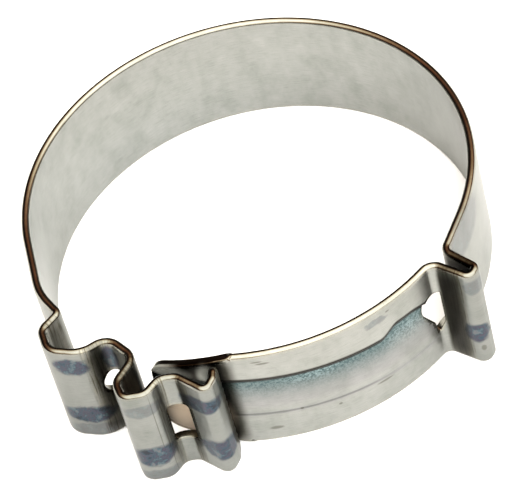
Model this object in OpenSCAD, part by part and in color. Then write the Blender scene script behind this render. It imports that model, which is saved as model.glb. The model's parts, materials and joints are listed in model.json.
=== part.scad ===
/* [Strip] */
// Width of the steel strip, along the bore axis
strip_w = 12; // [11:0.5:13]
// Thickness of the steel strip
strip_t = 0.8; // [0.7:0.05:0.85]
/* [Band] */
// Radius of the band's inner wall when the clamp lies open
bore_r = 20.5; // [20:0.5:22]
// Half of the rigid back section's angle, from the middle of the back to its flexures
back_half_angle = 25; // [20:1:30]
// Angle from one shoulder flexure to the next flexure
shoulder_angle = 45; // [40:1:48]
// Angle of the last flexure on the catch side
right_end_angle = -20; // [-22:1:-18]
// Angle where the catch side leaves the circle and runs straight
right_straight_angle = -32.5; // [-33:0.5:-32]
// Angle where the hook side leaves the circle and runs straight
left_straight_angle = 180; // [179:0.5:181]
/* [Tongue] */
// Angle where the tongue joins the circle again
tongue_start_angle = -53.5; // [-54:0.5:-53]
// Angle of the flexure at the tongue's root
tongue_root_angle = -58; // [-59:0.5:-57]
// Angle of the flexure in the middle of the tongue
tongue_mid_angle = -84; // [-88:1:-80]
// Angle where the tongue's full width ends
tongue_shoulder_angle = -105.4; // [-107:0.2:-103]
// Angle of the end of the tongue
tongue_end_angle = -127.5; // [-128:0.5:-126]
// Depth of the channel coined into the tongue's outer face
channel_depth = 0.3; // [0.2:0.05:0.4]
// Width of the tongue's tapered end
tip_w = 8.9; // [8.4:0.1:9.4]
// Corner radius of the tongue's end
tip_round = 2; // [1.6:0.1:2.4]
/* [Windows] */
// Height of the tongue's channel, as a share of the strip's width
channel_share = 0.39; // [0.3:0.01:0.4]
// Diameter of the round part of the window at the tongue's root
root_window_d = 2.7; // [2.4:0.1:3]
// Height of the straight part of the window at the tongue's root
root_window_h = 5; // [4.6:0.1:5.4]
// How far up the catch's foot the window at the tongue's root reaches
root_window_rise = 0.6; // [0.4:0.05:0.8]
// Diameter of the round window in the fold at the bow's foot
bow_window_d = 3.2; // [2.8:0.1:3.4]
// Length of the window in the hook's saddle, along the strip
saddle_window_l = 2.6; // [2:0.1:2.8]
// Height of the window in the hook's saddle
saddle_window_h = 4.6; // [4.2:0.1:5]
/* [Flexures] */
// How far the round end of a flexure is inside the strip's faces
knuckle_inset = 0.02; // [0.01:0.01:0.03]
// Radial clearance between a flexure's round end and its seat
flexure_gap = 0.05; // [0.04:0.01:0.08]
/* [Hidden] */
$fn = 96;
// Centreline radius of the band, and its inner and outer walls
band_r = bore_r + strip_t / 2;
outer_r = bore_r + strip_t;
// Flexure angles on the two sides of the back
right_shoulder_flex = 90 - back_half_angle;
left_shoulder_flex = 90 + back_half_angle;
right_side_flex = right_shoulder_flex - shoulder_angle;
left_side_flex = left_shoulder_flex + shoulder_angle;
// Round end and seat of a flexure
knuckle_r = strip_t / 2 - knuckle_inset;
seat_r = knuckle_r + flexure_gap;
channel_h = strip_w * channel_share;
// Heights of the root window's round part and of the bow's window above the strip's middle line
root_window_z = 1.15;
bow_window_z = 0.65;
// Distance from the fold at the catch's foot back to the root window's round part
root_window_lead = 0.8;
// Distance of the bow's window past the fold, and how far its cutter reaches each way
bow_window_ahead = 0.4;
bow_window_reach = 2.2;
// Where the saddle's window sits between the two bends beside it, as a share of the leg
saddle_window_place = 0.65;
// Where the channel ends, in front of the catch's foot
channel_start_angle = tongue_start_angle + 1.2;
// Length of the tongue's tip along the strip
tip_l = (tongue_shoulder_angle - tongue_end_angle) * PI / 180 * band_r;
// Distance that a cutter passes through a wall, and a small overrun
through = 6;
over = 0.5;
// Largest turn between two points of a bend, in degrees
bend_step = 10;

// A bend corner: [angle round the bore axis, height above the band's centreline, bend radius]
function on_band(a) = [a, 0, 0];
// A corner on the line that touches the band's centreline at angle touch
function on_tangent(touch, a, bend) = [a, band_r / cos(a - touch) - band_r, bend];

// The catch side, from the end of the band's round stretch to the tongue
catch_corners = [
    on_band(right_straight_angle),
    on_tangent(right_straight_angle, -44.3, 1),
    [-45.4, 4.0, 0.55],
    [-48.4, 4.2, 0.55],
    on_tangent(tongue_start_angle, -49.1, 1.2),
    on_band(tongue_start_angle)];

// The hook side, from the end of the band's round stretch to the lip
hook_corners = [
    on_band(left_straight_angle),
    on_tangent(left_straight_angle, left_straight_angle + 17, 7),
    [205.7, 0.8, 0.6],
    [207, 3.1, 1.2],
    [212.5, 4.2, 1.7],
    [219, 2.7, 2.6],
    [221.5, 0.1, 1.6],
    [231, 1.0, 1.5],
    [230.6, 4.2, 1.5],
    [233.8, 5.5, 0.9],
    [237.8, 4.6, 1.1],
    [239, 2.7, 1.4],
    [242.7, 2.2, 1.4],
    [250, 3.65, 0.5],
    [250.95, 2.3, 0.6],
    [250.5, 0.75, 0]];

function at(a, r = band_r) = r * [cos(a), sin(a)];
function place(corner) = at(corner[0], band_r + corner[1]);
function heading(p, q) = atan2(q[1] - p[1], q[0] - p[0]);
function turn(h0, h1) = (h1 - h0 + 540) % 360 - 180;
function leg_middle(corners, i) = (place(corners[i]) + place(corners[i + 1])) / 2;
function leg_heading(corners, i) = heading(place(corners[i]), place(corners[i + 1]));

// The centreline round one bend, as [point, heading] pairs
function bend(corners, i) =
    let (h0 = leg_heading(corners, i - 1))
    let (h1 = leg_heading(corners, i))
    let (angle = turn(h0, h1))
    let (r = corners[i][2])
    let (side = sign(angle))
    let (start = place(corners[i]) - r * tan(abs(angle) / 2) * [cos(h0), sin(h0)])
    let (centre = start + side * r * [-sin(h0), cos(h0)])
    let (n = ceil(abs(angle) / bend_step))
    [for (k = [0 : n])
        let (h = h0 + angle * k / n)
        [centre + side * r * [sin(h), -cos(h)], h]];

// The centreline from the middle of one leg, round the bends between, to the middle of another
function centreline(corners, from, to) = concat(
    [[leg_middle(corners, from), leg_heading(corners, from)]],
    [for (i = [from + 1 : to]) for (p = bend(corners, i)) p],
    [[leg_middle(corners, to), leg_heading(corners, to)]]);

// The centreline along the round band, clockwise from one angle to another
function band_line(from, to) =
    let (n = ceil(abs(to - from) / 1.5))
    [for (k = [0 : n])
        let (a = from + (to - from) * k / n)
        [at(a), a - 90]];

function beside(p, d) = p[0] + d * [-sin(p[1]), cos(p[1])];
function outline(line) = concat(
    [for (p = line) beside(p, strip_t / 2)],
    [for (k = [len(line) - 1 : -1 : 0]) beside(line[k], -strip_t / 2)]);

// A bent stretch of the strip along a centreline
module bent_strip(line) {
    linear_extrude(strip_w, center = true)
        polygon(outline(line));
}

// A round stretch of the band between two angles, with true cylindrical walls
module band_arc(from, to, height = strip_w, inner = bore_r, outer = outer_r) {
    rotate([0, 0, from])
        rotate_extrude(angle = to - from)
            translate([inner, -height / 2])
                square([outer - inner, height]);
}

// The round end of a flexure, added to the section that carries it
module knuckle(p) {
    translate(p)
        cylinder(r = knuckle_r, h = strip_w, center = true);
}

// The space for a flexure's round end, taken from the next section
module seat(p) {
    translate(p)
        cylinder(r = seat_r, h = strip_w + 2 * over, center = true);
}

// A square window cutter through the wall at point p, facing angle a
module square_window(p, a, length, height) {
    translate(p)
        rotate([0, 90, a])
            cube([height, length, through], center = true);
}

// Cutter for the window that crosses the fold between the tongue and the catch's foot:
// round before the fold, straight and taller in the fold
module root_window() {
    corner = catch_corners[4];
    past_wall = strip_t / 2 + 0.25;
    rotate([0, 0, corner[0]])
        translate([band_r - through / 2, 0, root_window_z])
            rotate([90, 0, 90])
                linear_extrude(through / 2 + corner[1] + root_window_rise) {
                    translate([-root_window_lead, 0])
                        circle(d = root_window_d);
                    translate([-root_window_lead, root_window_d / 2 - root_window_h])
                        square([root_window_lead + past_wall, root_window_h]);
                }
}

// Round cutter through the fold at the bow's foot, halfway between its two legs' headings
module bow_window() {
    before = leg_heading(hook_corners, 5);
    halfway = before + turn(before, leg_heading(hook_corners, 6)) / 2;
    translate(place(hook_corners[6]) + bow_window_ahead * at(halfway, 1))
        translate([0, 0, bow_window_z])
            rotate([0, 90, halfway - 90])
                cylinder(d = bow_window_d, h = 2 * bow_window_reach, center = true);
}

// The channel coined into the tongue's outer face between two angles
module channel(from, to) {
    band_arc(from, to, channel_h, outer_r - channel_depth, outer_r + over);
}

// Half of the tongue tip's outline: [distance along the strip, distance from its middle line]
function tip_half() =
    let (shoulder = [0, strip_w / 2])
    let (corner = [tip_l - tip_round, tip_w / 2 - tip_round])
    let (slope = heading(shoulder, corner) + asin(tip_round / norm(corner - shoulder)))
    concat(
        [[-over, strip_w / 2], shoulder],
        [for (k = [0 : 8]) corner + tip_round * at((90 + slope) * (1 - k / 8), 1)]);

// A block of the tongue tip's outline, standing through the band's wall
module tip_block() {
    half = tip_half();
    points = concat(
        [for (p = half) [tip_l / 2 - p[0], p[1]]],
        [for (k = [len(half) - 1 : -1 : 0]) [tip_l / 2 - half[k][0], -half[k][1]]]);
    rotate([0, 0, (tongue_shoulder_angle + tongue_end_angle) / 2])
        translate([band_r - through / 2, 0, 0])
            rotate([90, 0, 90])
                linear_extrude(through)
                    polygon(points);
}

// The rigid back of the band
module back_band() {
    color("gainsboro") {
        band_arc(right_shoulder_flex, left_shoulder_flex);
        knuckle(at(right_shoulder_flex));
        knuckle(at(left_shoulder_flex));
    }
}

// Catch side of the band, from the back down
module right_shoulder_band() {
    color("silver") difference() {
        union() {
            band_arc(right_side_flex, right_shoulder_flex);
            knuckle(at(right_side_flex));
        }
        seat(at(right_shoulder_flex));
    }
}

module right_side_band() {
    color("gainsboro") difference() {
        union() {
            band_arc(right_end_angle, right_side_flex);
            knuckle(at(right_end_angle));
        }
        seat(at(right_side_flex));
    }
}

module right_end_band() {
    color("silver") difference() {
        bent_strip(concat(
            band_line(right_end_angle, right_straight_angle),
            [[leg_middle(catch_corners, 0), leg_heading(catch_corners, 0)]]));
        seat(at(right_end_angle));
    }
}

// Notch behind the catch, where the latch lip drops in
module catch_notch() {
    color("darkgray")
        bent_strip(centreline(catch_corners, 0, 1));
}

// Folded catch hook
module catch_hook() {
    color("lightsteelblue")
        bent_strip(centreline(catch_corners, 1, 3));
}

// Foot in front of the catch, with the root window
module catch_foot() {
    color("darkgray") difference() {
        union() {
            bent_strip(concat(
                [[leg_middle(catch_corners, 3), leg_heading(catch_corners, 3)]],
                bend(catch_corners, 4),
                band_line(tongue_start_angle, tongue_root_angle)));
            knuckle(at(tongue_root_angle));
        }
        root_window();
        channel(tongue_root_angle - 2, channel_start_angle);
    }
}

// Tongue that bridges the gap, with its coined channel
module tongue_base() {
    color("silver") difference() {
        union() {
            band_arc(tongue_mid_angle, tongue_root_angle);
            knuckle(at(tongue_mid_angle));
        }
        seat(at(tongue_root_angle));
        channel(tongue_mid_angle - 2, tongue_root_angle + 2);
    }
}

module tongue_blade() {
    color("gainsboro") difference() {
        band_arc(tongue_shoulder_angle, tongue_mid_angle);
        seat(at(tongue_mid_angle));
        channel(tongue_shoulder_angle - 2, tongue_mid_angle + 2);
    }
}

// Tapered end of the tongue
module tongue_tip() {
    color("silver") difference() {
        intersection() {
            band_arc(tongue_end_angle - 1, tongue_shoulder_angle);
            tip_block();
        }
        channel(tongue_end_angle - 2, tongue_shoulder_angle + 2);
    }
}

// Hook side of the band, from the back down
module left_shoulder_band() {
    color("silver") difference() {
        union() {
            band_arc(left_shoulder_flex, left_side_flex);
            knuckle(at(left_side_flex));
        }
        seat(at(left_shoulder_flex));
    }
}

module left_side_band() {
    color("gainsboro") difference() {
        union() {
            band_arc(left_side_flex, left_straight_angle);
            knuckle(at(left_straight_angle));
        }
        seat(at(left_side_flex));
    }
}

module left_end_band() {
    color("silver") difference() {
        bent_strip(concat(
            [[at(left_straight_angle), leg_heading(hook_corners, 0)]],
            bend(hook_corners, 1),
            [[leg_middle(hook_corners, 1), leg_heading(hook_corners, 1)]]));
        seat(at(left_straight_angle));
    }
}

// Notch above the spring bow
module bow_notch() {
    color("darkgray") {
        bent_strip(centreline(hook_corners, 1, 2));
        knuckle(leg_middle(hook_corners, 2));
    }
}

// Spring bow, which gives when the clamp is latched
module bow_hump() {
    color("lightsteelblue") difference() {
        bent_strip(centreline(hook_corners, 2, 4));
        seat(leg_middle(hook_corners, 2));
    }
}

module bow_bridge() {
    color("gainsboro") difference() {
        bent_strip(centreline(hook_corners, 4, 5));
        bow_window();
    }
}

module bow_wall() {
    color("lightsteelblue") difference() {
        union() {
            bent_strip(centreline(hook_corners, 5, 7));
            knuckle(leg_middle(hook_corners, 7));
        }
        bow_window();
    }
}

// Hook that reaches over the catch
module hook_hump() {
    color("gainsboro") difference() {
        bent_strip(centreline(hook_corners, 7, 10));
        seat(leg_middle(hook_corners, 7));
    }
}

module hook_saddle() {
    saddle_place = place(hook_corners[11]) * (1 - saddle_window_place)
        + place(hook_corners[12]) * saddle_window_place;
    color("silver") difference() {
        bent_strip(centreline(hook_corners, 10, 12));
        square_window(saddle_place, leg_heading(hook_corners, 11) - 90,
            saddle_window_l, saddle_window_h);
    }
}

module latch_hump() {
    color("gainsboro")
        bent_strip(centreline(hook_corners, 12, 13));
}

module latch_lip() {
    last = len(hook_corners) - 1;
    lip_end = [[place(hook_corners[last]), leg_heading(hook_corners, last - 1)]];
    color("darkgray")
        bent_strip(concat(centreline(hook_corners, 13, 14), lip_end));
}

back_band();
right_shoulder_band();
right_side_band();
right_end_band();
catch_notch();
catch_hook();
catch_foot();
tongue_base();
tongue_blade();
tongue_tip();
left_shoulder_band();
left_side_band();
left_end_band();
bow_notch();
bow_hump();
bow_bridge();
bow_wall();
hook_hump();
hook_saddle();
latch_hump();
latch_lip();
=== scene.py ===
import json
import math

import bpy
import numpy as np
from mathutils import Matrix, Vector, geometry


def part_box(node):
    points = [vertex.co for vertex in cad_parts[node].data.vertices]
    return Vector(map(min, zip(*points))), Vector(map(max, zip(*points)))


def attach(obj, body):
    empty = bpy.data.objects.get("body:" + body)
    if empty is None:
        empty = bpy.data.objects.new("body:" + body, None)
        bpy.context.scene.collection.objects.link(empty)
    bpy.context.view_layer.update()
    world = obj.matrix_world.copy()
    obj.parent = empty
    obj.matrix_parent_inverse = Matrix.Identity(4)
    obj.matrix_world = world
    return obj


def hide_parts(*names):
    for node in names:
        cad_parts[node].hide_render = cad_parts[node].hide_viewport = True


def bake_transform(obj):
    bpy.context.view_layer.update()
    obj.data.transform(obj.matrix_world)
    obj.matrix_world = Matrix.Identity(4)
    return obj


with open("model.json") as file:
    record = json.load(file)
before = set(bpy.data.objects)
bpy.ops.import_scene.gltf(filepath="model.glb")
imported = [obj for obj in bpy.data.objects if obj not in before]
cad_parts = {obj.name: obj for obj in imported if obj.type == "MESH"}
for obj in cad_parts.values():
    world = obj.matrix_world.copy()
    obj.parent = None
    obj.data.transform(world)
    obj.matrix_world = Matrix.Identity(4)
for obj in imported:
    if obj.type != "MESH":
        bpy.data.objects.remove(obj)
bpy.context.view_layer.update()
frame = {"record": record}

MM = 0.001

# ---------------------------------------------------------------- sizes, from the frame
BORE = next(m for m in frame["record"]["mounts"] if m["name"] == "band_bore")
BORE_R = BORE["dims"]["r_mm"]
BACK_LOW, BACK_HIGH = (np.array(corner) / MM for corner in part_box("back_band"))
STRIP_W = BACK_HIGH[2] - BACK_LOW[2]
STRIP_T = BACK_HIGH[1] - BORE_R
BAND_R = BORE_R + STRIP_T / 2

# Angles round the bore axis, in degrees, where the strip's stretches meet
TIP_END = -127.5
TIP_SHOULDER = -105.4
TONGUE_START = -53.5
CATCH_STRAIGHT = -32.5
HOOK_STRAIGHT = 180.0


def on_tangent(touch, angle, bend):
    """A bend corner on the line that touches the band's centreline at the angle touch."""
    return (angle, BAND_R / math.cos(math.radians(angle - touch)) - BAND_R, bend)


# Bend corners: (angle, height above the band's centreline in mm, bend radius in mm)
CATCH = [
    (TONGUE_START, 0, 0),
    on_tangent(TONGUE_START, -49.1, 1.2),
    (-48.4, 4.2, 0.55),
    (-45.4, 4.0, 0.55),
    on_tangent(CATCH_STRAIGHT, -44.3, 1),
    (CATCH_STRAIGHT, 0, 0),
]
HOOK = [
    (HOOK_STRAIGHT, 0, 0),
    on_tangent(HOOK_STRAIGHT, HOOK_STRAIGHT + 17, 7),
    (205.7, 0.8, 0.6),
    (207, 3.1, 1.2),
    (212.5, 4.2, 1.7),
    (219, 2.7, 2.6),
    (221.5, 0.1, 1.6),
    (231, 1.0, 1.5),
    (230.6, 4.2, 1.5),
    (233.8, 5.5, 0.9),
    (237.8, 4.6, 1.1),
    (239, 2.7, 1.4),
    (242.7, 2.2, 1.4),
    (250, 3.65, 0.5),
    (250.95, 2.3, 0.6),
    (250.5, 0.75, 0),
]


# ---------------------------------------------------------------- the strip's centreline
def polar(angle, radius=BAND_R):
    a = math.radians(angle)
    return radius * np.array([math.cos(a), math.sin(a)])


def place(corner):
    return polar(corner[0], BAND_R + corner[1])


def leg_place(corners, i, share):
    """The point at a share of the leg that follows corner i."""
    return place(corners[i]) * (1 - share) + place(corners[i + 1]) * share


def arc_line(start, end, step):
    """[point, heading] pairs round the band, anticlockwise."""
    count = math.ceil((end - start) / step)
    angles = [start + (end - start) * k / count for k in range(count + 1)]
    return [(polar(a), math.radians(a + 90)) for a in angles]


def bent_line(corners, turn_step, leg_step):
    """[point, heading] pairs along legs and round the bends between them."""
    points = [place(c) for c in corners]
    made = [points[0]]
    line = []
    heading = [math.atan2(*(b - a)[::-1]) for a, b in zip(points, points[1:])]
    for i in range(1, len(corners)):
        h0 = heading[i - 1]
        last = i == len(corners) - 1
        turn = 0 if last else (heading[i] - h0 + 3 * math.pi) % (2 * math.pi) - math.pi
        r = corners[i][2]
        forward = np.array([math.cos(h0), math.sin(h0)])
        start = points[i] - r * math.tan(abs(turn) / 2) * forward
        leg = np.linalg.norm(start - made[-1])
        count = max(1, math.ceil(leg / leg_step))
        line += [(made[-1] + (start - made[-1]) * k / count, h0) for k in range(count + 1)]
        if last:
            break
        side = math.copysign(1, turn)
        centre = start + side * r * np.array([-math.sin(h0), math.cos(h0)])
        count = max(2, math.ceil(abs(math.degrees(turn)) / turn_step))
        for k in range(count + 1):
            h = h0 + turn * k / count
            line.append((centre + side * r * np.array([math.sin(h), -math.cos(h)]), h))
        made.append(line[-1][0])
    return line


def whole_line(arc_step, turn_step, leg_step):
    """The centreline from the tongue's tip to the latch lip: points, headings and distance along it."""
    line = (
        arc_line(TIP_END, TONGUE_START, arc_step)
        + bent_line(CATCH, turn_step, leg_step)
        + arc_line(CATCH_STRAIGHT, HOOK_STRAIGHT, arc_step)
        + bent_line(HOOK, turn_step, leg_step)
    )
    points = np.array([p for p, _ in line])
    headings = np.unwrap([h for _, h in line])
    kept = np.r_[True, np.linalg.norm(np.diff(points, axis=0), axis=1) > 1e-4]
    points, headings = points[kept], headings[kept]
    along = np.r_[0, np.cumsum(np.linalg.norm(np.diff(points, axis=0), axis=1))]
    return points, headings, along


FINE_P, FINE_H, FINE_S = whole_line(0.1, 0.5, 0.05)
LENGTH = FINE_S[-1]


def along_of(point):
    """Distance along the strip of the centreline point nearest to a point."""
    return FINE_S[np.argmin(np.linalg.norm(FINE_P - point, axis=1))]


def at_angle(angle):
    return along_of(polar(angle))


def at_leg(corners, i, share=0.5):
    return along_of(leg_place(corners, i, share))


def bent(along, across, out):
    """Points of the bent strip, in mm, from places on the flat strip and heights off its middle."""
    h = np.interp(along, FINE_S, FINE_H)
    x = np.interp(along, FINE_S, FINE_P[:, 0]) + np.sin(h) * out
    y = np.interp(along, FINE_S, FINE_P[:, 1]) - np.cos(h) * out
    return np.stack([x, y, across], 1)


# ---------------------------------------------------------------- the flat strip: edges, windows, channel
# Radius of the rolled edges, and of the edges cut at the tip and the windows
EDGE_R = 0.37
CUT_EDGE_R = 0.09
# Distances from an edge at which rings of points follow it
EDGE_RINGS = (0, 0.02, 0.07, 0.14, 0.24, EDGE_R)
WINDOW_RINGS = (0, 0.03, CUT_EDGE_R)
# Distance given to points that are away from every edge
FAR_IN = 9.0
HALF_W = STRIP_W / 2
# Half the tip's width and its corner radius, the lip's corner radius, and where the tip's taper ends
TIP_HALF_W = 4.45
TIP_ROUND = 2.0
LIP_CORNER_R = 0.9
SHOULDER_S = at_angle(TIP_SHOULDER)

# The coined channel: half its width, its depth, how far it drifts across the strip for each mm along it
CHANNEL_HALF = 2.34
CHANNEL_DEPTH = 0.3
CHANNEL_DRIFT = -0.06
# Width of its upper crease's wall, how its floor curves, and the depth of its lower crease
CREASE_W = 0.12
FLOOR_CURVE = 1.7
LOW_CREASE_DEPTH = 0.05
# Before the root window the upper crease flares up across the strip, then sinks a little: places along it
FLARE = 1.0
FLARE_RISES = (21.3, 23.4)
FLARE_SINKS = (24.8, 27.2)
FLARE_SUNK = 0.4
CHANNEL_END = at_angle(TONGUE_START)
# Rows of points across the strip, and rows beside each crease
ACROSS = [0.45 * k for k in range(-12, 13)]
BESIDE_CREASE = (-0.2, -0.07, 0, 0.07, 0.2)

# Window at the tongue's root: a round part before the fold, a straight part in the fold
ROOT_R = 1.35
ROOT_S = along_of(place(CATCH[1])) - 0.8
ROOT_Z = 1.15
ROOT_LOW = ROOT_Z + ROOT_R - 5
ROOT_END = ROOT_S + 1.15
# Width and height of its narrow foot, and height of the knee where its round side ends
ROOT_FOOT_W = 0.35
ROOT_FOOT_H = 1.1
ROOT_KNEE_H = 1.3
# Round window in the fold at the bow's foot, long ways along the strip once it is flat
BOW_S = along_of(place(HOOK[6])) + 0.45
BOW_Z = 0.65
BOW_L = 3.9
BOW_H = 3.2
# Square window in the hook's saddle
SADDLE_S = at_leg(HOOK, 11, 0.65)
SADDLE_L = 2.6
SADDLE_H = 4.6
CORNER_R = 0.3


def arc_points(centre, r, start, end, step=6):
    """Points of an arc between two angles, no more than a step apart, in degrees."""
    count = max(2, math.ceil(abs(end - start) / step))
    angles = np.radians(np.linspace(start, end, count + 1))
    return [(centre[0] + r * math.cos(a), centre[1] + r * math.sin(a)) for a in angles]


def strip_outline(d, stations):
    """Closed outline of the flat strip, moved in by d: the tongue tip first, then round the latch lip."""
    corner = (TIP_ROUND, TIP_HALF_W - TIP_ROUND)
    reach = math.hypot(SHOULDER_S - corner[0], HALF_W - corner[1])
    taper = math.atan2(HALF_W - corner[1], SHOULDER_S - corner[0]) - math.asin(TIP_ROUND / reach)
    shoulder = SHOULDER_S + d * math.tan(taper / 2)
    half = [(d, 0), (d, 0.8), (d, 1.6)]
    half += arc_points(corner, TIP_ROUND - d, 180, 90 + math.degrees(taper), 10)
    last = np.array(half[-1])
    gap = np.array([shoulder, HALF_W - d]) - last
    half += [tuple(last + gap * k / 14) for k in range(1, 15)]
    half += [(s, HALF_W - d) for s in stations if SHOULDER_S + 0.12 < s < LENGTH - LIP_CORNER_R - 0.05]
    half += arc_points((LENGTH - LIP_CORNER_R, HALF_W - LIP_CORNER_R), LIP_CORNER_R - d, 90, 0, 12)
    half += [(LENGTH - d, z) for z in (4.6, 3.7, 2.8, 1.9, 1.0)]
    lower = [(s, -z) for s, z in half[:0:-1]]
    return half + [(LENGTH - d, 0)] + lower


def oval_outline(middle, across, length, height, d):
    """Oval window, moved out by d."""
    turn = np.radians(np.arange(0, 360, 9))
    reach = (length / 2 + d, height / 2 + d)
    return [(middle + reach[0] * math.cos(a), across + reach[1] * math.sin(a)) for a in turn]


def side_points(start, end, count):
    """Points between two corners, without the corners."""
    start, end = np.array(start), np.array(end)
    return [tuple(start + (end - start) * k / count) for k in range(1, count)]


def square_outline(middle, length, height, d):
    """Window with four straight sides and small round corners, moved out by d."""
    corner = (length / 2 - CORNER_R, height / 2 - CORNER_R)
    quarters = []
    for k, (i, j) in enumerate(((1, 1), (-1, 1), (-1, -1), (1, -1))):
        centre = (middle + i * corner[0], j * corner[1])
        quarters.append(arc_points(centre, CORNER_R + d, 90 * k, 90 * k + 90, 22))
    ring = []
    for k, quarter in enumerate(quarters):
        after = quarters[(k + 1) % 4][0]
        ring += quarter + side_points(quarter[-1], after, 6 if k % 2 == 0 else 9)
    return ring


def root_outline(d):
    """Root window, moved out by d: round towards the tongue, straight along the fold, narrow at its foot."""
    r = ROOT_R + d
    ring = arc_points((ROOT_S, ROOT_Z), r, 90, 205)
    knee = (ROOT_S - 0.2 - d, ROOT_LOW + ROOT_KNEE_H)
    low_left = (ROOT_S - d, ROOT_LOW - d)
    low_right = (ROOT_S + ROOT_FOOT_W + d, ROOT_LOW - d)
    side = (ROOT_END + d, ROOT_LOW + ROOT_FOOT_H)
    top_right = (ROOT_END + d, ROOT_Z + r)
    for corner, count in ((knee, 6), (low_left, 4), (low_right, 2), (side, 4), (top_right, 10)):
        ring += side_points(ring[-1], corner, count) + [corner]
    return ring + side_points(top_right, ring[0], 5)


# The windows' outlines, each moved out by d
WINDOWS = (
    root_outline,
    lambda d: oval_outline(BOW_S, BOW_Z, BOW_L, BOW_H, d),
    lambda d: square_outline(SADDLE_S, SADDLE_L, SADDLE_H, d),
)


def inside(points, ring):
    """Which points lie inside a closed ring."""
    ring = np.array(ring)
    x, y = points[:, 0:1], points[:, 1:2]
    ax, ay = ring[:, 0], ring[:, 1]
    bx, by = np.roll(ax, -1), np.roll(ay, -1)
    rise = np.where(by == ay, 1e-12, by - ay)
    crosses = (ay > y) != (by > y)
    return (np.sum(crosses & (x < (bx - ax) * (y - ay) / rise + ax), axis=1) % 2).astype(bool)


def smooth(x, low, high):
    """A smooth step from 0 at low to 1 at high."""
    t = np.clip((x - low) / (high - low), 0, 1)
    return t * t * (3 - 2 * t)


def roll_off(d, r):
    """How far a face with rolled edges of radius r drops at distance d from the edge."""
    left = np.clip(r - d, 0, None)
    return r - np.sqrt(np.clip(r * r - left * left, 0, None))


def channel_middle(s):
    """The channel's middle across the strip: it drifts down towards the catch."""
    return CHANNEL_DRIFT * (np.clip(s, 0, CHANNEL_END) - CHANNEL_END / 2)


def lower_crease(s):
    return channel_middle(s) - CHANNEL_HALF


def upper_crease(s):
    flare = smooth(s, *FLARE_RISES) - FLARE_SUNK * smooth(s, *FLARE_SINKS)
    return channel_middle(s) + CHANNEL_HALF + FLARE * flare


def channel_drop(s, z):
    """Depth of the channel: deepest at its sharp upper crease, none at its lower one but for a faint line."""
    top, foot = upper_crease(s), lower_crease(s)
    wall = smooth(top + CREASE_W / 2 - z, 0, CREASE_W)
    fall = np.clip((top - z) / (top - foot), 0, 1)
    floor = CHANNEL_DEPTH * (1 - fall) ** FLOOR_CURVE
    faint = LOW_CREASE_DEPTH * np.exp(-(((z - foot) / 0.2) ** 2))
    ends = 1 - smooth(s, CHANNEL_END, CHANNEL_END + 0.8)
    return (wall * floor + faint) * ends


# ---------------------------------------------------------------- how shut in each place is, which sets the painted shade
def shut_in(step=0.25, reach=7, rays=15, off=0.12):
    """Share of each place's view, from the outer and the inner face, that the strip blocks within a reach."""
    s = np.arange(0, LENGTH, step)
    h = np.interp(s, FINE_S, FINE_H)
    p = bent(s, 0 * s, 0)[:, :2]
    a, edge = p[:-1], np.diff(p, axis=0)
    shares = []
    for side in (1, -1):
        face = bent(s, 0 * s, side * (STRIP_T / 2 + off))[:, :2]
        normal = np.radians(-90 if side > 0 else 90) + h
        blocked = np.zeros(len(s))
        weights = 0
        for tilt in np.radians(np.linspace(-80, 80, rays)):
            d = np.column_stack([np.cos(normal + tilt), np.sin(normal + tilt)])
            gap = a[None] - face[:, None]
            cross = d[:, None, 0] * edge[None, :, 1] - d[:, None, 1] * edge[None, :, 0]
            cross = np.where(np.abs(cross) < 1e-9, 1e-9, cross)
            far = (gap[..., 0] * edge[None, :, 1] - gap[..., 1] * edge[None, :, 0]) / cross
            share = (gap[..., 0] * d[:, None, 1] - gap[..., 1] * d[:, None, 0]) / cross
            hit = (far > 0.02) & (far < reach) & (share >= 0) & (share <= 1)
            near = np.where(hit, 1 - far / reach, 0).max(axis=1)
            blocked += math.cos(tilt) * near
            weights += math.cos(tilt)
        shares.append(blocked / weights)
    return s, shares[0], shares[1]


# Painted shade in the outer face's folds, where they lie in shadow or reflect dark parts: (place along the
# strip, half length in mm, amount)
FOLD_SHADE = (
    (along_of(place(CATCH[1])) + 1.7, 1.5, 0.5),
    (along_of(place(HOOK[5])) + 1.3, 1.5, 0.36),
    (6.4, 1.9, 0.36),
    (at_leg(HOOK, 10, 0.8), 0.7, 0.25),
    (at_leg(HOOK, 12, 0.2), 0.7, 0.3),
    (along_of(place(CATCH[4])), 1.0, 0.3),
    (along_of(place(HOOK[2])), 1.2, 0.3),
)


def fold_shade_painted(s, shares):
    """The outer face's shares, raised by painted shade in its folds and lowered by painted light on the
    tongue's lit end.
    """
    shares = shares * (0.4 + 0.6 * smooth(s, 2.2, 4.4))
    for fold_s, half_l, amount in FOLD_SHADE:
        fold = amount * (1 - smooth(np.abs(s - fold_s), 0.35 * half_l, 1.25 * half_l))
        shares = np.maximum(shares, fold)
    return shares


SHUT_S, SHUT_OUT, SHUT_IN = shut_in()
SHUT_OUT = fold_shade_painted(SHUT_S, SHUT_OUT)


# ---------------------------------------------------------------- one mesh of the whole strip
def crease_free(s, z):
    """Whether a place keeps clear of the points beside the channel's creases."""
    return s > CHANNEL_END + 1 or min(abs(z - upper_crease(s)), abs(z - lower_crease(s))) > 0.3


def flat_grid(stations):
    """Points over the flat strip, and closer ones along the channel's creases, clear of all the edges."""
    grid = [(s, z) for s in stations for z in ACROSS if crease_free(s, z)]
    for s in stations:
        if s < CHANNEL_END + 1:
            grid += [(s, z + shift) for z in (upper_crease(s), lower_crease(s)) for shift in BESIDE_CREASE]
    grid = np.array(grid)
    keep = inside(grid, strip_outline(EDGE_RINGS[-1] + 0.08, stations))
    for window in WINDOWS:
        keep &= ~inside(grid, window(WINDOW_RINGS[-1] + 0.1))
    return grid[keep]


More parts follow.
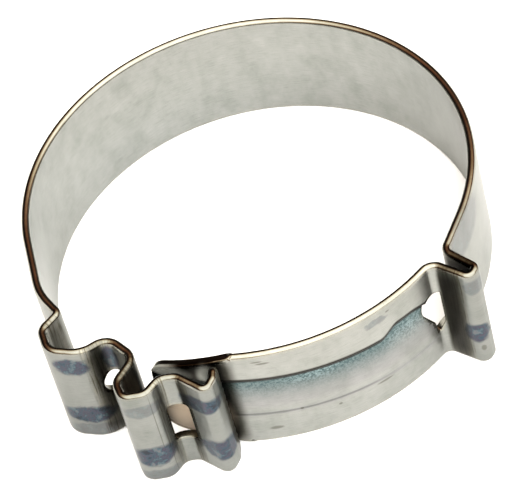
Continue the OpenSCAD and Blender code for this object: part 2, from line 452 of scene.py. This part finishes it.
def flat_mesh(cuts):
    """Triangles of the flat strip, and its points' distance from the nearest edge and that edge's radius."""
    stations = [s for s in whole_line(1.2, 6, 0.45)[2] if min(abs(s - c) for c in cuts) > 0.06]
    stations = sorted(stations + list(cuts))
    points, depth, radius, edges = [], [], [], []

    def add_ring(d, ring, radii):
        """Adds points at distance d from an edge, and the edge's own line where that distance is 0."""
        first = len(points)
        points.extend(ring)
        depth.extend([d] * len(ring))
        radius.extend(radii)
        if d == 0:
            edges.extend((first + k, first + (k + 1) % len(ring)) for k in range(len(ring)))

    for d in EDGE_RINGS:
        ring = strip_outline(d, stations)
        s = np.array([p[0] for p in ring])
        rolled = smooth(s, SHOULDER_S - 0.05, SHOULDER_S + 0.2)
        add_ring(d, ring, CUT_EDGE_R + (EDGE_R - CUT_EDGE_R) * rolled)
    for window in WINDOWS:
        for d in WINDOW_RINGS:
            ring = window(d)
            add_ring(d, ring, [CUT_EDGE_R] * len(ring))
    grid = flat_grid(stations)
    points += [tuple(p) for p in grid]
    depth += [FAR_IN] * len(grid)
    radius += [EDGE_R] * len(grid)

    placed = np.array(points)
    for c in cuts:
        row = np.flatnonzero(np.abs(placed[:, 0] - c) < 1e-7)
        row = row[np.argsort(placed[row, 1])].tolist()
        edges += list(zip(row, row[1:]))

    made = geometry.delaunay_2d_cdt([Vector(p) for p in points], edges, [], 0, 1e-7)
    verts, faces, source = np.array([tuple(v) for v in made[0]]), made[2], made[3]
    faces = np.array([tuple(f) for f in faces])
    pick = np.array([s[0] if s else -1 for s in source])
    middles = verts[faces].mean(axis=1)
    good = inside(middles, strip_outline(0, stations))
    for window in WINDOWS:
        good &= ~inside(middles, window(0))
    a, b, c = (verts[faces[:, k]] for k in range(3))
    area = (b - a)[:, 0] * (c - a)[:, 1] - (b - a)[:, 1] * (c - a)[:, 0]
    good &= np.abs(area) > 1e-9
    faces = np.where((area > 0)[:, None], faces, faces[:, ::-1])[good]
    return verts, faces, np.array(depth)[pick], np.array(radius)[pick]


def strip_shell(cuts):
    """The whole strip as a closed skin: points, faces, where each face is along the strip, point facts."""
    flat, faces, d, r = flat_mesh(cuts)
    s, z = flat[:, 0], flat[:, 1]
    rolled = STRIP_T / 2 - roll_off(d, r)
    heights = (rolled - channel_drop(s, z), -rolled)
    points = np.vstack([bent(s, z, out) for out in heights])
    count = len(flat)
    pairs = np.vstack([faces[:, [0, 1]], faces[:, [1, 2]], faces[:, [2, 0]]])
    known = {tuple(p) for p in pairs}
    rim = np.array([p for p in pairs if (p[1], p[0]) not in known])
    quads = np.column_stack([rim[:, 1], rim[:, 0], rim[:, 0] + count, rim[:, 1] + count])
    skin = [tuple(f) for f in faces] + [tuple(f) for f in faces[:, ::-1] + count] + [tuple(q) for q in quads]
    along = np.concatenate([s[faces].mean(axis=1)] * 2 + [s[rim].mean(axis=1)])
    facts = {
        "flat": np.column_stack([np.tile(s, 2), np.tile(z, 2), np.repeat([1.0, -1.0], count)]),
        "edge": np.tile(1 - smooth(d, 0, 0.5), 2),
        "coined": np.concatenate([channel_drop(s, z) / CHANNEL_DEPTH, np.zeros(count)]),
        # How shut in each place is, which sets its painted shade
        "shut": np.concatenate([np.interp(s, SHUT_S, SHUT_OUT), np.interp(s, SHUT_S, SHUT_IN)]),
    }
    return points, skin, along, facts


def vertex_normals(points, skin):
    """Normals of the skin's points, from the triangles and the quads round them."""
    normals = np.zeros_like(points)
    for size in (3, 4):
        f = np.array([c for c in skin if len(c) == size])
        n = np.cross(points[f[:, 2]] - points[f[:, 0]], points[f[:, -1]] - points[f[:, 1]])
        for k in range(size):
            np.add.at(normals, f[:, k], n)
    return normals / np.linalg.norm(normals, axis=1)[:, None]


def cap_faces(facts, station, forward):
    """Quads that close a piece where it is cut across, facing along the strip or back."""
    count = len(facts["edge"]) // 2
    flat = facts["flat"][:count]
    row = np.flatnonzero(np.abs(flat[:, 0] - station) < 1e-5)
    row = row[np.argsort(flat[row, 1])]
    quads = [(b, a, a + count, b + count) for a, b in zip(row, row[1:])]
    return [q[::-1] for q in quads] if forward else quads


def corner_normals(points, normals, faces, skin_count):
    """Normals at the faces' corners: the whole skin's, and after skin_count faces each flat face's own."""
    corners = []
    for i, face in enumerate(faces):
        if i < skin_count:
            corners += [tuple(normals[c]) for c in face]
        else:
            a, b, c = (points[k] for k in face[:3])
            n = np.cross(b - a, c - a)
            corners += [tuple(n / np.linalg.norm(n))] * len(face)
    return corners


def strip_piece(name, shell, normals, start, end):
    """One stretch of the strip as a closed mesh object, shaded as part of the whole."""
    points, skin, along, facts = shell
    after_start = (along > start) | (start <= 0)
    before_end = (along < end) | (end >= LENGTH)
    faces = [skin[i] for i in np.flatnonzero(after_start & before_end)]
    skin_count = len(faces)
    if start > 0:
        faces += cap_faces(facts, start, False)
    if end < LENGTH:
        faces += cap_faces(facts, end, True)
    used = np.unique(np.concatenate([np.array(f) for f in faces]))
    renumber = {old: new for new, old in enumerate(used)}
    mesh = bpy.data.meshes.new(name)
    mesh.from_pydata((points[used] * MM).tolist(), [], [[renumber[i] for i in f] for f in faces])
    for title, values in facts.items():
        kind = "FLOAT_VECTOR" if values.ndim == 2 else "FLOAT"
        field = "vector" if values.ndim == 2 else "value"
        layer = mesh.attributes.new(title, kind, "POINT")
        layer.data.foreach_set(field, values[used].astype(np.float32).ravel())
    mesh.shade_smooth()
    for polygon in mesh.polygons[skin_count:]:
        polygon.use_smooth = False
    mesh.normals_split_custom_set(corner_normals(points, normals, faces, skin_count))
    piece = bpy.data.objects.new(name, mesh)
    bpy.context.scene.collection.objects.link(piece)
    return piece


# ---------------------------------------------------------------- materials
class Shader:
    """The nodes of a material or a world, with short calls for making and joining them."""

    def __init__(self, owner):
        owner.use_nodes = True
        self.tree = owner.node_tree

    def node(self, kind, inputs=(), **settings):
        made = self.tree.nodes.new("ShaderNode" + kind)
        for key, value in settings.items():
            setattr(made, key, value)
        for key, value in dict(inputs).items():
            self.feed(made.inputs[key], value)
        return made

    def feed(self, socket, value):
        if isinstance(value, bpy.types.NodeSocket):
            self.tree.links.new(value, socket)
        else:
            socket.default_value = value

    def maths(self, operation, *values):
        made = self.node("Math", operation=operation)
        for socket, value in zip(made.inputs, values):
            self.feed(socket, value)
        return made.outputs[0]

    def attribute(self, name, output):
        return self.node("Attribute", attribute_name=name).outputs[output]

    def scaled(self, vector, scale):
        return self.node("Mapping", {"Vector": vector, "Scale": scale}).outputs[0]

    def noise(self, vector, scale, detail, roughness):
        inputs = {"Vector": vector, "Scale": scale, "Detail": detail, "Roughness": roughness}
        return self.node("TexNoise", inputs).outputs[0]

    def split(self, vector):
        return self.node("SeparateXYZ", {"Vector": vector}).outputs

    def between(self, value, low, high):
        """A smooth step from 0 at low to 1 at high."""
        limits = {"Value": value, "From Min": low, "From Max": high}
        return self.node("MapRange", limits, interpolation_type="SMOOTHSTEP").outputs[0]

    def spot(self, flat, oval, soft):
        """An oval patch: (distance along the strip, height, half length, half height)."""
        s, z, half_l, half_h = oval
        shift = (-s / half_l, -z / half_h, 0)
        inputs = {"Vector": flat, "Location": shift, "Scale": (1 / half_l, 1 / half_h, 0)}
        placed = self.node("Mapping", inputs).outputs[0]
        far = self.node("VectorMath", {"Vector": placed}, operation="LENGTH").outputs["Value"]
        return self.between(far, 1 + soft, 1 - soft)

    def spots(self, flat, ovals, soft):
        shown = self.spot(flat, ovals[0], soft)
        for oval in ovals[1:]:
            shown = self.maths("MAXIMUM", shown, self.spot(flat, oval, soft))
        return shown

    def ramp(self, value, stops):
        made = self.node("ValToRGB", {"Fac": value})
        elements = made.color_ramp.elements
        while len(elements) < len(stops):
            elements.new(0.5)
        for element, (at, colour) in zip(elements, stops):
            element.position = at
            element.color = (*colour, 1)
        return made.outputs[0]

    def mix(self, share, a, b, blend="MIX"):
        made = self.node("Mix", data_type="RGBA", blend_type=blend)
        for socket, value in zip((made.inputs[0], made.inputs[6], made.inputs[7]), (share, a, b)):
            self.feed(socket, value)
        return made.outputs[2]


# Where the band leaves the catch's notch
FLANK = along_of(place(CATCH[4]))
# Heat-tinted patches left by the bending, and small marks: (along, across, half length, half height) in mm
HEAT_TINTS = (
    (134.6, 4.0, 1.5, 1.1),
    (134.9, -2.8, 2.5, 1.1),
    (138.4, 4.0, 1.1, 1.5),
    (147.5, -2.6, 2.0, 1.3),
    (153.9, 3.4, 2.2, 1.0),
    (154.8, -2.8, 2.0, 1.3),
    (31.9, -1.9, 1.0, 1.2),
    (FLANK + 0.9, 2.6, 0.7, 1.1),
)
FAINT_TINTS = (
    (147.7, 3.8, 1.7, 0.8),
    (FLANK + 3.5, 4.2, 4.2, 2.2),
    (21.3, 4.6, 1.1, 0.45),
    (32.5, 4.3, 0.9, 0.9),
    (134.9, -5.0, 2.6, 0.9),
    (147.5, -5.2, 1.9, 0.7),
)
SCRATCHES = (
    (148.35, 1.2, 0.035, 4.6),
    (148.85, -0.5, 0.05, 5.2),
    (149.5, 0.6, 0.06, 5.0),
    (20.9, -3.15, 0.8, 0.12),
    (13.0, -2.3, 0.15, 0.15),
    (16.4, -3.3, 0.17, 0.13),
    (10.4, -4.2, 0.6, 0.2),
    (22.6, 5.1, 0.22, 0.1),
    (32.2, -3.9, 0.14, 0.36),
    (10.2, 5.1, 0.5, 0.1),
    (10.7, 4.8, 0.6, 0.12),
    (152.6, 3.2, 0.7, 0.35),
)
# A painted reflection of tan ground, straw-coloured, low on the tongue's end, painted lit patches above it,
# and painted glints, brighter specks, in the channel
TAN_REFLECTION_PATCH = (3.4, -2.0, 2.9, 3.2)
LIT_PATCHES = ((1.8, 3.7, 1.8, 0.9), (5.6, 3.8, 0.8, 1.2))
GLINT_PATCHES = ((24.3, 0.9, 1.8, 1.1), (15.1, 1.7, 2.2, 0.6))
# Where the darker stretch from the bow to the latch starts, and the middle of the catch
BOW_START = along_of(place(HOOK[2]))
CATCH_TOP = at_leg(CATCH, 2)

# Colours laid over the steel: pits and marks, then painted crease shade, a painted tan reflection, painted
# lit grey and painted glints
PIT = (0.09, 0.1, 0.1, 1)
MARK = (0.075, 0.072, 0.058, 1)
CREASE_SHADE = (0.02, 0.019, 0.017, 1)
TAN_REFLECTION = (0.85, 0.68, 0.50, 1)
LIT_GREY = (0.48, 0.49, 0.43, 1)
CHANNEL_GLINT = (0.165, 0.225, 0.232, 1)
# Colours that the steel's own is multiplied by, one of them a painted highlight that brightens the rolled
# edges, and the tint of what it reflects at a grazing angle
DARKER_TONE = (0.74, 0.75, 0.75, 1)
CHANNEL_LILAC = (0.93, 0.91, 0.95, 1)
EDGE_HIGHLIGHT = (1.17, 1.1, 0.99, 1)
GRAZING_TINT = (0.77, 0.77, 0.76, 1)
# Ramps: (place on the ramp, colour), for the bare steel, its grain, the streaks, the painted shade in the
# channel, the painted shade in the folds and shut-in places, and the heat tints
MOTTLE = (
    (0.32, (0.20, 0.208, 0.19)),
    (0.5, (0.235, 0.24, 0.223)),
    (0.68, (0.26, 0.264, 0.247)),
)
DRAWN = (
    (0.34, (0.86, 0.86, 0.86)),
    (0.5, (1, 1, 1)),
    (0.66, (1.06, 1.06, 1.05)),
)
STREAKS = (
    (0.38, (0.52, 0.47, 0.38)),
    (0.5, (1, 1, 1)),
    (0.62, (1.12, 1.07, 0.97)),
)
CHANNEL_SHADE = (
    (0.4, (0.045, 0.074, 0.078)),
    (0.58, (0.105, 0.138, 0.14)),
)
SHADE_RAMP = (
    (0.1, (1, 1, 1)),
    (0.2, (0.66, 0.65, 0.64)),
    (0.32, (0.30, 0.285, 0.26)),
    (0.5, (0.09, 0.08, 0.07)),
)
OXIDE = (
    (0.36, (0.018, 0.021, 0.030)),
    (0.44, (0.028, 0.050, 0.070)),
    (0.49, (0.050, 0.042, 0.060)),
    (0.53, (0.030, 0.036, 0.052)),
    (0.58, (0.045, 0.078, 0.095)),
    (0.66, (0.10, 0.098, 0.105)),
)


class Steel(Shader):
    """Satin spring steel: mottled, finely drawn along the strip, painted shade in blue-grey in the coined
    channel, painted shade in its folds and painted highlights on its edges.
    """

    def __init__(self, name, tinted):
        self.material = bpy.data.materials.new(name)
        super().__init__(self.material)
        self.flat = self.attribute("flat", "Vector")
        self.edge = self.attribute("edge", "Fac")
        self.coined = self.attribute("coined", "Fac")
        self.shut = self.attribute("shut", "Fac")
        self.s, self.z, side = self.split(self.flat)
        self.outer = self.between(side, 0.2, 0.8)
        self.grain = self.noise(self.scaled(self.flat, (0.25, 5.0, 7.0)), 3.0, 4.0, 0.6)
        self.speck = self.noise(self.scaled(self.flat, (1.0, 1.0, 5.0)), 5.5, 3.0, 0.7)
        self.marks = self.spots(self.flat, SCRATCHES, 0.35)
        # Painted reflection of tan ground on the tongue's end, and painted lit patches above it, on the outer
        # face
        tan_reflection = self.maths("MULTIPLY", self.spot(self.flat, TAN_REFLECTION_PATCH, 0.42), 0.8)
        self.tan_reflection = self.maths("MULTIPLY", tan_reflection, self.outer)
        # Painted light: lit grey patches near the tongue's tip
        lit_patch = self.maths("MULTIPLY", self.spots(self.flat, LIT_PATCHES, 0.5), 0.55)
        self.lit_patch = self.maths("MULTIPLY", lit_patch, self.outer)

        surface = self.tree.nodes["Principled BSDF"]
        self.feed(surface.inputs["Base Color"], self.colour(tinted))
        self.feed(surface.inputs["Specular Tint"], GRAZING_TINT)
        self.feed(surface.inputs["Roughness"], self.roughness())
        self.feed(surface.inputs["Normal"], self.relief())
        # The painted reflection and the painted lit patches are less metallic
        bare = self.maths("SUBTRACT", 1.0, self.tan_reflection)
        self.feed(surface.inputs["Metallic"], self.maths("SUBTRACT", bare, self.lit_patch))

    def colour(self, tinted):
        """The colours in turn, from the bare steel, its marks and tints to the painted shade, highlight and
        reflection laid on it.
        """
        base = self.channelled(self.darkened_stretches(self.mottled()))
        base = self.mix(self.maths("MULTIPLY", self.marks, 0.65), base, MARK)
        if tinted:
            base = self.heat_tinted(base)
        # Painted shade where the strip shuts itself in and in its folds
        base = self.mix(1.0, base, self.painted_shade(), "MULTIPLY")
        # Painted highlight: the rolled edges are brightened so that their reflections turn white
        base = self.mix(self.edge, base, EDGE_HIGHLIGHT, "MULTIPLY")
        # Painted shade along the channel's creases
        base = self.mix(self.crease_shade(), base, CREASE_SHADE)
        # Painted reflection of tan ground, then painted lit grey
        base = self.mix(self.tan_reflection, base, TAN_REFLECTION)
        return self.mix(self.lit_patch, base, LIT_GREY)

    def mottled(self):
        """Bare steel with blotches, a drawn grain and dark pits."""
        blotch = self.noise(self.scaled(self.flat, (0.5, 0.35, 5.0)), 0.9, 6.0, 0.62)
        base = self.mix(1.0, self.ramp(blotch, MOTTLE), self.ramp(self.grain, DRAWN), "MULTIPLY")
        pits = self.between(self.speck, 0.66, 0.74)
        return self.mix(self.maths("MULTIPLY", pits, 0.45), base, PIT)

    def darkened_stretches(self, base):
        """Darker at the catch and from the bow to the latch, with streaks across the strip in the folds."""
        latch_side = self.between(self.s, BOW_START - 3, BOW_START + 2)
        off_catch = self.maths("ABSOLUTE", self.maths("SUBTRACT", self.s, CATCH_TOP))
        darkened_stretches = self.maths("MAXIMUM", latch_side, self.between(off_catch, 4.5, 2.0))
        base = self.mix(darkened_stretches, base, DARKER_TONE, "MULTIPLY")
        streak = self.noise(self.scaled(self.flat, (2.0, 0.1, 5.0)), 3.0, 3.0, 0.6)
        folded = self.maths("MULTIPLY", darkened_stretches, self.between(self.shut, 0.06, 0.2))
        return self.mix(folded, base, self.ramp(streak, STREAKS), "MULTIPLY")

    def channelled(self, base):
        """Lilac over the coined channel, with painted shade in blue-grey that grows with its depth towards
        the upper crease, specked, and painted glints in two patches.
        """
        in_channel = self.between(self.coined, 0.0, 0.12)
        base = self.mix(in_channel, base, CHANNEL_LILAC, "MULTIPLY")
        # Painted shade in blue-grey, deepest under the upper crease, with specks; brighter ones are painted
        # glints
        channel_shade = self.ramp(self.speck, CHANNEL_SHADE)
        specks = self.between(self.speck, 0.46, 0.6)
        bright = self.maths("MULTIPLY", self.spots(self.flat, GLINT_PATCHES, 0.9), specks)
        channel_shade = self.mix(bright, channel_shade, CHANNEL_GLINT)
        share = self.maths("MULTIPLY", in_channel, self.between(self.coined, 0.02, 0.85))
        return self.mix(share, base, channel_shade)

    def crease_shade(self):
        """Painted shade in the channel's creases on the outer face: dark along the upper one, faint along the
        lower one, which fades.
        """
        middle = self.maths("MULTIPLY_ADD", self.s, CHANNEL_DRIFT, -CHANNEL_DRIFT * CHANNEL_END / 2)
        off = self.maths("SUBTRACT", self.z, middle)
        sunk = self.maths("MULTIPLY", self.between(self.s, *FLARE_SINKS), FLARE_SUNK)
        flare = self.maths("SUBTRACT", self.between(self.s, *FLARE_RISES), sunk)
        top = self.maths("MULTIPLY_ADD", flare, FLARE, CHANNEL_HALF)
        off_top = self.maths("ABSOLUTE", self.maths("SUBTRACT", off, top))
        off_foot = self.maths("ABSOLUTE", self.maths("ADD", off, CHANNEL_HALF))
        before_end = self.between(self.s, CHANNEL_END + 0.3, CHANNEL_END)
        upper = self.maths("MULTIPLY", self.between(off_top, 0.48, 0.22), before_end)
        faded = self.maths("MULTIPLY", self.between(self.s, 24.0, 18.0), 0.4)
        lower = self.maths("MULTIPLY", self.between(off_foot, 0.2, 0.04), faded)
        return self.maths("MULTIPLY", self.maths("MAXIMUM", upper, lower), self.outer)

    def heat_tinted(self, base):
        """Oxide colours in ragged patches at the bends, violet and blue-grey, weaker on the inner face."""
        ragged = self.node("TexNoise", {"Vector": self.flat, "Scale": 1.6, "Detail": 3.0}).outputs["Color"]
        spread = {"Vector": ragged, "Location": (-0.5, -0.3, 0), "Scale": (1.0, 0.6, 0)}
        shift = self.node("Mapping", spread).outputs[0]
        torn = self.node("VectorMath", {0: self.flat, 1: shift}, operation="ADD").outputs[0]
        fleck = self.noise(self.scaled(self.flat, (0.9, 0.6, 5.0)), 1.2, 6.0, 0.68)
        oxide = self.ramp(fleck, OXIDE)
        shown = self.maths("MULTIPLY_ADD", self.outer, 0.65, 0.28)
        faint = self.maths("MULTIPLY", self.spots(torn, FAINT_TINTS, 0.2), 0.43)
        base = self.mix(self.maths("MULTIPLY", faint, shown), base, oxide)
        strong = self.maths("MULTIPLY", self.spots(torn, HEAT_TINTS, 0.2), shown)
        return self.mix(strong, base, oxide)

    def painted_shade(self):
        """Painted shade where the strip shuts itself in, less towards its two long edges."""
        middle = self.between(self.maths("ABSOLUTE", self.z), HALF_W, HALF_W - 1.6)
        kept = self.maths("MULTIPLY_ADD", middle, 0.45, 0.55)
        return self.ramp(self.maths("MULTIPLY", self.shut, kept), SHADE_RAMP)

    def roughness(self):
        """Follows the grain, and is smoother on the rolled edges."""
        drawn = self.maths("MULTIPLY_ADD", self.grain, 0.14, 0.24)
        return self.maths("MULTIPLY_ADD", self.edge, -0.2, drawn)

    def relief(self):
        """Grain and specks in relief, with the marks sunk in."""
        height = self.maths("MULTIPLY_ADD", self.speck, 0.5, self.grain)
        height = self.maths("SUBTRACT", height, self.marks)
        bump = self.node("Bump", {"Height": height, "Strength": 0.2, "Distance": 0.00003})
        return bump.outputs[0]


# ---------------------------------------------------------------- the strip's pieces
# Where the bow and the latch hook bend: the two ends of each flexure
BOW_FLEX = (leg_place(HOOK, 2, 0.1), leg_place(HOOK, 2, 0.9))
HOOK_FLEX = (leg_place(HOOK, 7, 0.35), leg_place(HOOK, 7, 0.66))
STRETCHES = [
    # name, where it ends, the body it rides on, or the two that it bends between and where it does so
    ("tongue_tip", at_angle(TIP_SHOULDER), "tongue_end"),
    ("tongue_blade", at_angle(-71), ("tongue_end", "tongue_root", polar(-97), polar(-73))),
    ("tongue_base", at_angle(-57.3), ("tongue_root", "catch_end", polar(-68), polar(-57.4))),
    ("catch_foot", at_leg(CATCH, 1), "catch_end"),
    ("catch_hook", at_leg(CATCH, 3, 0.3), "catch_end"),
    ("catch_notch", at_leg(CATCH, 4), "catch_end"),
    ("right_end_band", at_angle(0), ("catch_end", "right_side", polar(-26), polar(-1))),
    ("right_side_band", at_angle(42.5), ("right_side", "right_shoulder", polar(2), polar(38))),
    ("right_shoulder_band", at_angle(80), ("right_shoulder", "band_back", polar(48), polar(79))),
    ("back_band", at_angle(100), "band_back"),
    ("left_shoulder_band", at_angle(137.5), ("band_back", "left_shoulder", polar(101), polar(132))),
    ("left_side_band", at_angle(170), ("left_shoulder", "left_side", polar(144), polar(169))),
    ("left_end_band", at_leg(HOOK, 0, 0.6), ("left_side", "left_end", polar(171), polar(190))),
    ("bow_notch", at_leg(HOOK, 1, 0.7), "left_end"),
    ("bow_hump", at_leg(HOOK, 4), ("left_end", "spring_bow", *BOW_FLEX)),
    ("bow_bridge", at_leg(HOOK, 5, 0.2), "spring_bow"),
    ("bow_wall", at_leg(HOOK, 6, 0.9), "spring_bow"),
    ("hook_hump", at_leg(HOOK, 10), ("spring_bow", "latch_hook", *HOOK_FLEX)),
    ("hook_saddle", at_leg(HOOK, 12), "latch_hook"),
    ("latch_hump", at_leg(HOOK, 13), "latch_hook"),
    ("latch_lip", LENGTH, "latch_hook"),
]
# Nodes whose steel is heat-tinted near a bend
TINTED = {
    "bow_hump",
    "bow_bridge",
    "bow_wall",
    "hook_hump",
    "hook_saddle",
    "latch_hump",
    "latch_lip",
    "tongue_blade",
    "tongue_base",
    "catch_hook",
    "catch_notch",
    "right_end_band",
}


def make_strip():
    """The strip's pieces, each on its node's body, or left unparented where it bends between two."""
    cuts = [end for _, end, _ in STRETCHES[:-1]]
    shell = strip_shell(cuts)
    normals = vertex_normals(shell[0], shell[1])
    finishes = {
        "spring_steel": Steel("spring_steel", False).material,
        "tinted_steel": Steel("tinted_steel", True).material,
    }
    start = 0
    for node, end, bodies in STRETCHES:
        piece = strip_piece(node + "_steel", shell, normals, start, end)
        slot = "tinted_steel" if node in TINTED else "spring_steel"
        piece.data.materials.append(finishes[slot])
        if isinstance(bodies, str):
            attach(piece, bodies)
        else:
            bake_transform(piece)
        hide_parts(node)
        start = end


make_strip()


# ---------------------------------------------------------------- stage, light and camera
SHEET_Z = -HALF_W * MM


def make_floor():
    """The white paper that the clamp stands on."""
    bpy.ops.mesh.primitive_plane_add(size=4, location=(0, 0, SHEET_Z))
    floor = bpy.context.object
    floor.name = "studio_floor"
    paper = bpy.data.materials.new("white_paper")
    surface = Shader(paper).tree.nodes["Principled BSDF"]
    surface.inputs["Base Color"].default_value = (0.9, 0.9, 0.9, 1)
    surface.inputs["Roughness"].default_value = 0.9
    floor.data.materials.append(paper)


# The studio, by direction: white paper below and round the horizon, and above it a big warm-edged lamp
# on the camera's side that fades into a dark brown room: (cosine of the angle off the lamp, colour)
PAPER = (1.0, 0.99, 0.97, 1)
HORIZON = (0.02, 0.16)
LAMP_TOWARDS = (0.25, -0.45, 0.86)
LAMP_FADE = [
    (0.0, (0.018, 0.013, 0.011)),
    (0.22, (0.06, 0.032, 0.024)),
    (0.34, (0.42, 0.16, 0.085)),
    (0.44, (0.85, 0.52, 0.30)),
    (0.55, (2.3, 1.95, 1.45)),
    (0.70, (3.9, 3.8, 3.6)),
    (0.88, (4.4, 4.35, 4.25)),
]


def make_world():
    """The studio that the steel reflects."""
    world = bpy.data.worlds.new("studio")
    bpy.context.scene.world = world
    sky = Shader(world)
    towards = sky.node("TexCoord").outputs["Generated"]
    lamp = {0: towards, 1: Vector(LAMP_TOWARDS).normalized()}
    off_lamp = sky.node("VectorMath", lamp, operation="DOT_PRODUCT").outputs["Value"]
    above = sky.between(sky.split(towards)["Z"], *HORIZON)
    background = sky.tree.nodes["Background"]
    sky.feed(background.inputs["Color"], sky.mix(above, PAPER, sky.ramp(off_lamp, LAMP_FADE)))
    sky.feed(background.inputs["Strength"], 1.0)


KEY_TOWARDS = (0.1, -0.62, 0.78)


def make_key_light():
    """Lights the paper from above the camera's side; the reflections come from the studio."""
    light = bpy.data.lights.new("key", "SUN")
    light.energy = 2.0
    light.angle = math.radians(20)
    key = bpy.data.objects.new("key", light)
    key.rotation_euler = Vector(KEY_TOWARDS).to_track_quat("Z", "Y").to_euler()
    key.visible_glossy = False
    bpy.context.scene.collection.objects.link(key)


# Camera: the point it aims at and its distance in mm, its angle above that point, its roll, its lens in mm,
# and how far the picture is shifted, as shares of its width
AIM = np.array([-0.15, -0.43, -6.0])
DISTANCE = 300
ELEVATION = math.radians(47.45)
ROLL = math.radians(15.8014)
LENS = 222.7
SHIFT = (-0.02539, 0.04238)


def make_camera():
    """The photo's view, from the front and above, rolled about its own axis."""
    forward = np.array([0, math.cos(ELEVATION), -math.sin(ELEVATION)])
    up = np.array([0, math.sin(ELEVATION), math.cos(ELEVATION)])
    right = np.array([1.0, 0, 0])
    turned_right = math.cos(ROLL) * right - math.sin(ROLL) * up
    turned_up = math.sin(ROLL) * right + math.cos(ROLL) * up
    eye = (AIM - DISTANCE * forward) * MM
    data = bpy.data.cameras.new("camera")
    data.lens = LENS
    data.sensor_width = 36
    data.shift_x, data.shift_y = SHIFT
    camera = bpy.data.objects.new("camera", data)
    axes = Matrix((turned_right, turned_up, -forward)).transposed()
    camera.matrix_world = Matrix.Translation(eye) @ axes.to_4x4()
    bpy.context.scene.collection.objects.link(camera)
    bpy.context.scene.camera = camera


make_floor()
make_world()
make_key_light()
make_camera()
bpy.context.scene.view_settings.view_transform = "Standard"
